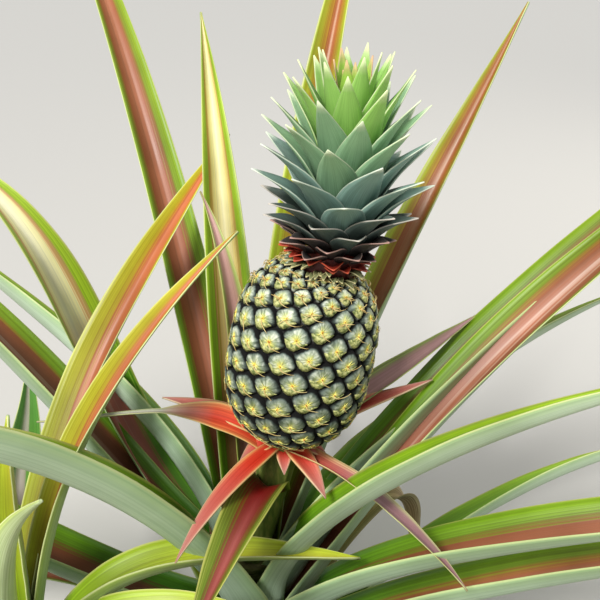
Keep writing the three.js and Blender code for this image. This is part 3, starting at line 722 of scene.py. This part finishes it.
def makeFruit(skins):
    spots = eyeSpots()
    print("eyes:", len(spots))
    half = fruit["height"] / 2
    bm = bmesh.new()

    def corePath(v):
        share = lerp(-0.999, 0.999, v)
        line = fruit["centre"] + fruit["axis"] * (share * (half - 3))
        side = (Vector((1, 0, 0)) - fruit["axis"] * fruit["axis"].x).normalized()
        radius = max(fruitSize(share) - eyes["sunk"] - eyes["coreDepth"], 0.2)
        return line, radius, side, fruit["axis"].cross(side)

    addTube(bm, corePath, 48, 40)
    closeEnds(bm)
    finishPiece("fruitCore", bm, [skins["core"]], ["fruit"])

    parts = {key: bmesh.new() for key in ("eye", "bract", "star", "flower", "straw")}
    for i, spot in enumerate(spots):
        reach = eyeReach(spots, i)
        origin = spot["at"] - spot["up"] * eyes["shift"]
        grow = min(spot["size"] / eyes["fullSize"], 1)

        def onEye(x, y, lift):
            return origin + spot["right"] * x + spot["up"] * y + spot["out"] * lift

        def dome(r, angle):
            plump = 1 + eyes["plump"] * math.sin(angle) * r
            dip = eyes["dipDepth"] * math.exp(-(r / eyes["dipSize"]) ** 2)
            rim = eyes["rimDrop"] * r ** eyes["rimSharpness"]
            return eyes["lift"] * grow * (1 - r ** eyes["flatness"]) * plump - rim - dip

        def discSpot(u, v):  # a square laid on a disc, with its rings crowded towards the rim
            x, y = 2 * u - 1, 2 * v - 1
            x, y = x * math.sqrt(1 - y * y / 2), y * math.sqrt(1 - x * x / 2)
            r = min(max(math.hypot(x, y), 0.001), 1)
            spread = (1 - (1 - r) ** 1.5) / r
            return x * spread, y * spread

        def onDome(r, angle, lift=0):
            far = reach(angle) * r
            return onEye(far * math.cos(angle), far * math.sin(angle), dome(r, angle) + lift)

        def placeEye(u, v):
            x, y = discSpot(u, v)
            return onDome(math.hypot(x, y), math.atan2(y, x))

        def eyePattern(u, v):
            x, y = discSpot(u, v)
            return 0.5 + x / 2, 0.5 + y / 2

        addSheet(parts["eye"], eyes["across"], eyes["across"], placeEye, eyePattern)

        def placeBract(u, v):
            x = 2 * u - 1
            ragged = eyeBract["ragged"] * math.sin(19 * x + i)
            inner = eyeBract["inner"] + eyeBract["sideRise"] * abs(x) ** 1.3 + ragged
            return onDome(lerp(eyeBract["outer"], inner, v), math.radians(-90 + eyeBract["halfAngle"] * x),
                          lerp(*eyeBract["lift"], v))

        addSheet(parts["bract"], 8, 2, placeBract)
        centre = (random.uniform(-0.8, 0.8), -1.5 + random.uniform(-0.7, 0.7))

        # star of ridges: a low cone whose every other point is pulled in
        made = bmesh.ops.create_cone(parts["star"], cap_ends=False, segments=2 * eyeStar["points"],
                                     radius1=1, radius2=0.01, depth=1)
        turn = random.uniform(0, 0.5)
        for vert in made["verts"]:
            angle = math.atan2(vert.co.y, vert.co.x)
            if vert.co.z > 0:
                vert.co = onEye(centre[0], centre[1], dome(0.1, 0) + eyeStar["height"]) * mm
                continue
            point = round(angle / (math.pi / eyeStar["points"])) % 2 == 0
            far = reach(angle) * (random.uniform(*eyeStar["reach"]) if point else eyeStar["notch"])
            x = centre[0] + far * math.cos(angle + turn)
            y = centre[1] + far * math.sin(angle + turn)
            r = min(math.hypot(x, y) / reach(angle), 1)
            vert.co = onEye(x, y, dome(r, angle) + eyeStar["lift"]) * mm

        # dried flower in the middle
        made = bmesh.ops.create_cone(parts["flower"], cap_ends=False, segments=eyeFlower["sides"],
                                     radius1=1, radius2=0.4, depth=1)
        for vert in made["verts"]:
            low = vert.co.z < 0
            wide = random.uniform(*eyeFlower["foot" if low else "top"])
            x, y = centre[0] + vert.co.x * wide, centre[1] + vert.co.y * wide * 0.8
            vert.co = onEye(x, y, dome(0.1, 0) + eyeFlower["lift" if low else "height"]) * mm

        # dry point of the bract, bent aside; the eyes near the crown keep several
        for k in range(1 if spot["h"] / half < eyeStraw["manyFrom"] else eyeStraw["many"]):
            first = k == 0
            bend = random.uniform(*eyeStraw["bend" if first else "sideBend"])
            length = random.uniform(*eyeStraw["length"]) * (grow if first else eyeStraw["sideLength"])

            def placeStraw(u, v):
                swing = 0.3 + bend * (1.3 * v if first else 1)
                x = centre[0] + length * v * math.sin(swing)
                y = centre[1] - 1.2 - length * v * math.cos(swing) * 0.62
                wide = eyeStraw["width"] * (1 - v) ** 0.6
                angle = math.atan2(y, x)
                low = max(dome(min(math.hypot(x, y) / reach(angle), 1), angle), 1.3 * grow)
                lift = low + 0.4 + (0.6 if first else 2.2) * math.sin(v * 2.6)
                return onEye(x + (u - 0.5) * wide, y + (u - 0.5) * wide * 1.4, lift)

            addSheet(parts["straw"], 1, 6, placeStraw)
    for key, bmPart in parts.items():
        piece = finishPiece("fruit" + key[0].upper() + key[1:], bmPart, [skins[key]], ["fruit"])
        if key in ("bract", "straw"):
            thicken(piece, 0.4)


# Skin of one eye: tough waxy rind, dark at the rim and pale green at the middle, with a powdery bloom,
# streaks that run outwards, painted shade on the yellow-green lower half of each eye, and painted shade that
# darkens the eyes towards the foot of the fruit.
rind = {
    "middle": (0.5, 0.44, 0), "wander": 0.03, "halves": (-0.06, 0.04),
    "patchScale": 120,  # patches about 8 mm across
    "upper": [(0.1, "#d8d888"), (0.2, "#bac48e"), (0.33, "#98a48e"), (0.44, "#6c7870"),
              (0.475, "#3c4540"), (0.495, "#080807")],
    # lower half of the eye: the bract's yellow-green, with painted shade that darkens it and turns it black
    # sooner towards the rim
    "lower": [(0.1, "#dcd474"), (0.2, "#b4b868"), (0.3, "#838f54"), (0.38, "#4c583a"),
              (0.42, "#1f231a"), (0.445, "#080807")],
    "dustScale": 230,  # spots of dust about 4 mm across
    "dustMost": 0.6, "dustEnd": (0.38, 0.45), "dustColour": "#e4e8d4",
    "rays": 3.4, "rayShift": 70.0, "rayTones": [(0.34, "#a8aea2"), (0.56, "#ffffff")],
    # painted shade: eyes below these heights, in metres, are darkened by these tones
    "footShadeHeights": (0.36, 0.46), "footShadeTones": [(0.0, "#90968e"), (1.0, "#ffffff")],
    "dullSpan": (0.38, 0.47), "roughness": (0.46, 0.95), "specular": 0.35, "depth": 0.5}


def eyeMaterial():
    material, tree, shader = newMaterial("fruitRind")
    place = addNode(tree, "UVMap")
    centred = addNode(tree, "VectorMath", {0: place, 1: rind["middle"]}, operation="SUBTRACT")
    reach = addNode(tree, "VectorMath", {0: centred}, operation="LENGTH").outputs["Value"]
    split = addNode(tree, "SeparateXYZ", {0: centred})
    solid = addNode(tree, "TexCoord").outputs["Object"]
    patches = addNode(tree, "TexNoise", {"Vector": solid, "Scale": rind["patchScale"], "Detail": 4.0})
    stray = addNode(tree, "MapRange", {0: patches, 1: 0.3, 2: 0.7, 3: -rind["wander"], 4: rind["wander"]})
    band = addNode(tree, "Math", {0: reach, 1: stray}, operation="ADD")
    upper = addNode(tree, "ValToRGB", {0: band}, stops=rind["upper"])
    lower = addNode(tree, "ValToRGB", {0: band}, stops=rind["lower"])
    half = addNode(tree, "MapRange", {0: split.outputs[1], 1: rind["halves"][0], 2: rind["halves"][1]})
    colour = addNode(tree, "Mix", {0: half, 6: lower, 7: upper}, data_type="RGBA")
    # pale dust in patches, not on the dark rim
    dust = addNode(tree, "TexNoise", {"Vector": solid, "Scale": rind["dustScale"], "Detail": 2.0})
    dusty = addNode(tree, "MapRange", {0: dust, 1: 0.46, 2: 0.62, 4: rind["dustMost"]})
    inside = addNode(tree, "MapRange",
                     {0: band, 1: rind["dustEnd"][0], 2: rind["dustEnd"][1], 3: 1.0, 4: 0.0})
    share = addNode(tree, "Math", {0: dusty, 1: inside}, operation="MULTIPLY")
    dusted = addNode(tree, "Mix", {0: share, 6: colour.outputs[2], 7: rind["dustColour"]}, data_type="RGBA")
    # streaks that run from the middle outwards
    bearing = addNode(tree, "Math", {0: split.outputs[1], 1: split.outputs[0]}, operation="ARCTAN2")
    where = addNode(tree, "SeparateXYZ", {0: solid})
    streakPlace = addNode(tree, "CombineXYZ", {
        0: addNode(tree, "Math", {0: bearing, 1: rind["rays"]}, operation="MULTIPLY"),
        1: reach,
        2: addNode(tree, "Math", {0: where.outputs[0], 1: rind["rayShift"]}, operation="MULTIPLY")})
    streaks = addNode(tree, "TexNoise", {"Vector": streakPlace, "Scale": 1.0, "Detail": 3.0})
    streakTone = addNode(tree, "ValToRGB", {0: streaks}, stops=rind["rayTones"])
    streaked = addNode(tree, "Mix", {0: 1.0, 6: dusted.outputs[2], 7: streakTone},
                       data_type="RGBA", blend_type="MULTIPLY")
    # painted shade: the eyes grow darker towards the foot of the fruit
    footShadeMask = addNode(tree, "MapRange",
                   {0: where.outputs[2], 1: rind["footShadeHeights"][0], 2: rind["footShadeHeights"][1]})
    footShadeTone = addNode(tree, "ValToRGB", {0: footShadeMask}, stops=rind["footShadeTones"])
    footShaded = addNode(tree, "Mix", {0: 1.0, 6: streaked.outputs[2], 7: footShadeTone},
                      data_type="RGBA", blend_type="MULTIPLY")
    dull = addNode(tree, "MapRange", {0: band, 1: rind["dullSpan"][0], 2: rind["dullSpan"][1],
                                      3: rind["roughness"][0], 4: rind["roughness"][1]})
    relief = addNode(tree, "Bump", {"Height": patches, "Distance": rind["depth"] * mm, "Strength": 0.7})
    fillSockets(tree, shader, {"Base Color": footShaded.outputs[2], "Roughness": dull, "Normal": relief,
                               "Specular IOR Level": rind["specular"]})
    return material


# Dry plant matter in one colour with a fleck: straw, bract, flower remains, and the dark gaps. The
# flecks are 2 to 5 mm across.
def dryMaterial(name, scale, roughness, colours):
    material, tree, shader = newMaterial(name)
    solid = addNode(tree, "TexCoord").outputs["Object"]
    flecks = addNode(tree, "TexNoise", {"Vector": solid, "Scale": scale, "Detail": 3.0})
    colour = addNode(tree, "ValToRGB", {0: flecks}, stops=colours)
    relief = addNode(tree, "Bump", {"Height": flecks, "Distance": 0.3 * mm, "Strength": 0.6})
    fillSockets(tree, shader, {"Base Color": colour, "Roughness": roughness, "Normal": relief})
    return material


dryLooks = {  # material name, scale of its flecks, roughness, colours
    "core": ("fruitGap", 200, 0.8, [(0.3, "#0b090a"), (0.7, "#1d1614")]),
    "bract": ("eyeBract", 420, 0.6, [(0.36, "#5f6c34"), (0.6, "#c4c480")]),
    "star": ("eyeStar", 300, 0.55, [(0.3, "#d4c844"), (0.65, "#f4ec84")]),
    "flower": ("eyeFlower", 500, 0.8, [(0.3, "#8a3c14"), (0.7, "#d8842c")]),
    "straw": ("bractPoint", 200, 0.7, [(0.3, "#b0904c"), (0.7, "#dcc88c")]),
}
fruitSkins = {key: dryMaterial(*look) for key, look in dryLooks.items()}
fruitSkins["eye"] = eyeMaterial()
makeFruit(fruitSkins)
print("fruit made")

# Crown: leaves on the same spiral, short and level at the bottom, long in the middle, upright on top.
crown = {"leaves": 94, "shift": 7, "firstAzimuth": 83, "axis": Vector((0.1, 0, 0.995)).normalized(),
         "sunk": 4, "tilt": 0.2, "tiltEnd": 0.34, "sideStep": 8, "channel": 0.22, "taper": 1.5,
         "thickness": 0.9, "ringRadius": 22, "ringChannel": 0.2,
         "steps": [0, 0.1, 0.2, 0.3, 0.4, 0.5, 0.6, 0.74, 0.88, 1],
         "height": [9, 12, 17, 22, 29, 40, 51, 63, 76, 88],
         "radius": [22, 23, 23, 22, 20, 17, 14, 11, 8, 3],
         "length": [13, 22, 34, 50, 66, 82, 88, 97, 93, 60],
         "rise": [22, 38, 46, 50, 55, 63, 68, 76, 85, 89],
         "bend": [30, 30, 30, 32, 32, 28, 26, 20, 10, 4],
         "width": [16, 20, 24, 28, 32, 34, 33, 31, 27, 16]}
crownRings = {  # small red points round the foot, then dry ones down to the top eyes
    "Red": {"leaves": 15, "height": (8, 12), "length": (10, 14), "rise": (10, 30), "end": -16, "width": 12},
    "Frill": {"leaves": 48, "height": (-2, 8), "length": (8, 15), "rise": (0, 40), "end": (-50, 0),
              "width": 5.5}}
crownLooks = {  # from the bottom row up: lowest share of the spiral, then colours along the leaf
    "Red": (0.0, "#3c100c", "#a4301f", "#cc5638"),
    "Dark": (0.07, "#2e2927", "#524b49", "#b89084"),
    "Grey": (0.24, "#424e4a", "#66766e", "#c4bcb0"),
    "Blue": (0.38, "#68887e", "#94b4a6", "#dce4d0"),
    "Green": (0.54, "#80ac8c", "#a4cc9c", "#dce6c0"),
    "Lime": (0.7, "#86c456", "#acdf70", "#e0eab4"),
    "Heart": (0.9, "#8ccc3c", "#b8e45c", "#d8b088"),
    "Frill": (2, "#4c4024", "#8c9060", "#d4c890"),  # dry, and not on the spiral
}


# The leaf skin with its colours from foot to tip, and a dry point.
def crownMaterial(name, foot, middle, tip):
    material = leafMaterial("crown" + name, {
        "foot": [(0.0, foot), (0.8, foot), (0.98, middle)],
        "tip": [(0.0, middle), (0.97, middle), (1.0, tip)],
        "turn": (0.0, 0.7), "wander": 0.06, "gloss": 0.42, "shade": "#c4c8c8", "veinShade": "#dde0dc"})
    tree = material.node_tree
    shader = tree.nodes["Principled BSDF"]
    colour = shader.inputs["Base Color"].links[0].from_socket
    split = addNode(tree, "SeparateXYZ", {0: addNode(tree, "UVMap")})
    point = addNode(tree, "MapRange", {0: split.outputs[1], 1: 0.86, 2: 0.99})
    capped = addNode(tree, "Mix", {0: point, 6: colour, 7: tip}, data_type="RGBA")
    fillSockets(tree, shader, {"Base Color": capped.outputs[2]})
    return material


# A short channelled leaf that starts at foot and bends from the first slope to the second.
def addScale(bm, foot, azimuth, length, slopes, width, channel, across=6, along=12, taper=1.6):
    side = heading(azimuth + 90, 0)
    line, p = [foot.copy()], foot.copy()
    for k in range(along):
        t = (k + 0.5) / along
        p = p + heading(azimuth, lerp(slopes[0], slopes[1], t ** 1.5)) * (length / along)
        line.append(p.copy())

    def place(u, v):
        k = round(v * along)
        x = 2 * u - 1
        ahead = (line[min(k + 1, along)] - line[max(k - 1, 0)]).normalized()
        top = ahead.cross(side).normalized()
        belly = math.sin(math.pi * min(0.5, 0.24 + v * 0.9)) if v < 0.3 else 1 - ((v - 0.3) / 0.7) ** taper
        half = max(width / 2 * belly, 0.25)
        rise = 2 * half * channel * abs(x) ** 1.4 * (1 - 0.7 * smoothStep(v, 0.5, 1))
        return line[k] - side * (half * x) + top * rise

    addSheet(bm, across, along, place)


def pick(span):  # a fixed value, or a random one between two
    return random.uniform(*span) if isinstance(span, tuple) else span


def makeCrown():
    base = fruit["centre"] + fruit["axis"] * (fruit["height"] / 2 - crown["sunk"])
    base = base + Vector((crown["shift"], 0, 0))
    skins = {key: crownMaterial(key, *look[1:]) for key, look in crownLooks.items()}
    groups = {key: bmesh.new() for key in crownLooks}
    for i in range(crown["leaves"]):
        s = i / (crown["leaves"] - 1)
        azimuth = crown["firstAzimuth"] + goldenAngle * i
        rule = {key: alongSteps(crown["steps"], crown[key], s)
                for key in ("height", "radius", "length", "rise", "bend", "width")}
        out = heading(azimuth, 0) * rule["radius"]
        upright = smoothStep(s, 0, crown["tiltEnd"])
        out.z = -crown["tilt"] * out.x * (1 - upright)
        out.x += crown["sideStep"] * upright
        foot = base + crown["axis"] * rule["height"] + out
        key = [name for name, look in crownLooks.items() if look[0] <= s][-1]
        slopes = (rule["rise"], rule["rise"] - rule["bend"])
        addScale(groups[key], foot, azimuth, rule["length"], slopes, rule["width"], crown["channel"],
                 taper=crown["taper"])
    around = [key for key, ring in crownRings.items() for k in range(ring["leaves"])]
    for i, key in enumerate(around):
        ring = crownRings[key]
        out = heading(goldenAngle * i, 0) * crown["ringRadius"]
        out.z = -crown["tilt"] * out.x
        foot = base + crown["axis"] * pick(ring["height"]) + out
        length = pick(ring["length"])
        slopes = (pick(ring["rise"]), pick(ring["end"]))
        addScale(groups[key], foot, goldenAngle * i, length, slopes, ring["width"], crown["ringChannel"],
                 across=4, along=6)
    for key, bm in groups.items():
        thicken(finishPiece("crown" + key, bm, [skins[key]], ["crown"]), crown["thickness"])
    bm = bmesh.new()

    def corePath(v):
        radius = alongSteps([0, 0.2, 0.5, 0.85, 1], [22, 22, 16, 9, 4], v)
        aside = Vector((crown["sideStep"] * smoothStep(v, 0, 0.3), 0, 0))
        middle = base + crown["axis"] * (v * 100 - 6) + aside
        return middle, radius, Vector((1, 0, -crown["tilt"] * (1 - v))), Vector((0, 1, 0))

    addTube(bm, corePath, 24, 14)
    closeEnds(bm)
    finishPiece("crownCore", bm, [skins["Red"]], ["crown"])


makeCrown()
print("crown made")

# Red bracts under the fruit: azimuth, length, slope at the foot, slope at the tip, width.
bractRows = [
    (163, 118, 20, -2, 26), (235, 150, 4, -38, 18), (272, 38, -14, -40, 13), (302, 72, -2, -40, 19),
    (15, 144, 20, 12, 22), (56, 70, 12, -6, 24), (98, 66, 10, -10, 24), (130, 70, 12, -8, 24),
    (204, 44, -6, -40, 20), (340, 44, -6, -36, 20),
]
bract = {"height": 336, "footRadius": 10, "channel": 0.18, "thickness": 1.4}
bractLook = {  # coral red, fading to pink and grey-green at the point
    "foot": [(0.0, "#d23420"), (0.6, "#e0452e"), (0.9, "#e8804c"), (0.97, "#ecc080")],
    "tip": [(0.0, "#bc7c70"), (0.6, "#bc8478"), (0.9, "#c8a090"), (0.97, "#dccaac")],
    "turn": (0.25, 0.95), "shade": "#dcc8c4", "gloss": 0.36}


def makeBracts():
    bm = bmesh.new()
    for azimuth, length, low, high, width in bractRows:
        foot = stalkCentre(bract["height"]) + heading(azimuth, 0) * bract["footRadius"]
        addScale(bm, foot, azimuth, length - bract["footRadius"], (low, high), width, bract["channel"],
                 along=18)
    skin = leafMaterial("bractRed", bractLook)
    thicken(finishPiece("redBracts", bm, [skin], ["bract_collar"]), bract["thickness"])


makeBracts()
print("bracts made")
